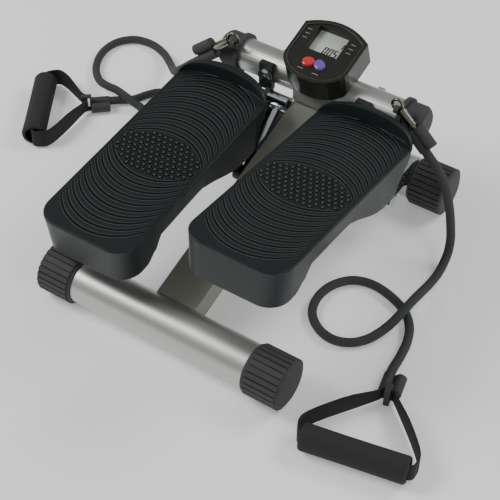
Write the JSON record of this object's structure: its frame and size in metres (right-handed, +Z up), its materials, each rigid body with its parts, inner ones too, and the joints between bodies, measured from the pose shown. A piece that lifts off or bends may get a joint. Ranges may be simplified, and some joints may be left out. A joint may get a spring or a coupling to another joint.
{
  "type": "mini stepper",
  "caption": "Mini stepper: coupled foot pedals on a tubular base with hydraulic dampers, a small counter on a cross tube, and resistance bands with foam handles.",
  "frame": {"origin": "on the floor, centre of the machine's footprint", "axes": "+X to the user's right, +Y towards the toes and the console, +Z up"},
  "size_m": [0.7095, 0.475, 0.2098],
  "materials": {
    "satin_steel": "satin",
    "olive_paint": "satin paint",
    "zinc": "bright zinc plate",
    "black_steel": "satin black paint",
    "black_plastic": "matt",
    "tread_plastic": "moulded, satin",
    "rubber": "semi-gloss rubber tube",
    "foam": "fine-grained foam rubber",
    "webbing": "woven webbing",
    "lcd_glass": "LCD panel",
    "circuit_green": "circuit board",
    "red": "gloss",
    "violet": "gloss"
  },
  "bodies": {
    "frame": {"rear_base_tube": "satin_steel", "front_base_tube": "satin_steel", "upper_tube": "satin_steel", "battery": "satin_steel", "rear_left_cap": "black_plastic", "rear_right_cap": "black_plastic", "front_left_cap": "black_plastic", "front_right_cap": "black_plastic", "console_housing": "black_plastic", "console_face": "black_plastic", "battery_cover": "black_plastic", "main_beam": "olive_paint", "front_post": "olive_paint", "console_saddle": "olive_paint", "rocker_pin": "zinc", "lcd_panel": "lcd_glass", "circuit_board": "circuit_green", "upper_left_cap": "black_plastic", "left_tube_ring": "black_plastic", "left_hook_sleeve": "black_plastic", "left_handle_sleeve": "black_plastic", "left_pivot_bracket": "zinc", "left_pivot_bolt": "zinc", "left_pivot_nut": "zinc", "left_hanger_bolt": "zinc", "left_hanger_nut": "zinc", "left_snap_hook": "zinc", "left_damper_hanger": "black_steel", "left_handle_strap": "webbing", "left_grip": "foam", "left_band": "rubber", "upper_right_cap": "black_plastic", "right_tube_ring": "black_plastic", "right_hook_sleeve": "black_plastic", "right_handle_sleeve": "black_plastic", "right_pivot_bracket": "zinc", "right_pivot_bolt": "zinc", "right_pivot_nut": "zinc", "right_hanger_bolt": "zinc", "right_hanger_nut": "zinc", "right_snap_hook": "zinc", "right_damper_hanger": "black_steel", "right_handle_strap": "webbing", "right_grip": "foam", "right_band": "rubber"},
    "rocker": {"rocker_bar": "black_steel"},
    "red_button": {"red_button": "red"},
    "violet_button": {"violet_button": "violet"},
    "left_pedal": {"left_tread": "tread_plastic", "left_pedal_arm": "black_steel", "left_pivot_bush": "black_plastic"},
    "left_damper": {"left_damper_body": "zinc"},
    "left_rod": {"left_damper_rod": "black_steel"},
    "right_pedal": {"right_tread": "tread_plastic", "right_pedal_arm": "black_steel", "right_pivot_bush": "black_plastic"},
    "right_damper": {"right_damper_body": "zinc"},
    "right_rod": {"right_damper_rod": "black_steel"}
  },
  "joints": [
    {"name": "left_pedal_hinge", "type": "hinge", "parent": "frame", "child": "left_pedal", "pos_m": [-0.0866, 0.1, 0.055], "axis": [1, 0, 0], "range_deg": [-12.2, 1.8]},
    {"name": "right_pedal_hinge", "type": "hinge", "parent": "frame", "child": "right_pedal", "pos_m": [0.0866, 0.1, 0.055], "axis": [1, 0, 0], "range_deg": [-1.8, 12.2]},
    {"name": "rocker_hinge", "type": "hinge", "parent": "frame", "child": "rocker", "pos_m": [0, 0.135, 0.08], "axis": [0, 1, 0], "range_deg": [-4.94, 0.74]},
    {"name": "left_damper_hinge", "type": "hinge", "parent": "frame", "child": "left_damper", "pos_m": [-0.041, 0.106, 0.124], "axis": [1, 0, 0], "range_deg": [-5.89, 0.88]},
    {"name": "right_damper_hinge", "type": "hinge", "parent": "frame", "child": "right_damper", "pos_m": [0.041, 0.106, 0.124], "axis": [1, 0, 0], "range_deg": [-0.88, 5.89]},
    {"name": "left_rod_slide", "type": "slide", "parent": "left_damper", "child": "left_rod", "axis": [0, -0.7801, -0.6256], "range_m": [-0.0112, 0.0017]},
    {"name": "right_rod_slide", "type": "slide", "parent": "right_damper", "child": "right_rod", "axis": [0, -0.8318, -0.5551], "range_m": [-0.0017, 0.0112]},
    {"name": "red_button_press", "type": "slide", "parent": "frame", "child": "red_button", "axis": [0, 0.309, -0.9511], "range_m": [0, 0.001], "stiffness_N_per_m": 300, "springref_m": -0.001},
    {"name": "violet_button_press", "type": "slide", "parent": "frame", "child": "violet_button", "axis": [0, 0.309, -0.9511], "range_m": [0, 0.001], "stiffness_N_per_m": 300, "springref_m": -0.001}
  ],
  "couplings": [
    {"joint": "right_pedal_hinge", "follows": "left_pedal_hinge", "ratio": -1},
    {"joint": "rocker_hinge", "follows": "left_pedal_hinge", "ratio": 0.40416},
    {"joint": "left_damper_hinge", "follows": "left_pedal_hinge", "ratio": 0.48161},
    {"joint": "right_damper_hinge", "follows": "left_pedal_hinge", "ratio": -0.48161},
    {"joint": "left_rod_slide", "follows": "left_pedal_hinge", "m_per_rad": 0.052089},
    {"joint": "right_rod_slide", "follows": "left_pedal_hinge", "m_per_rad": -0.052089}
  ]
}
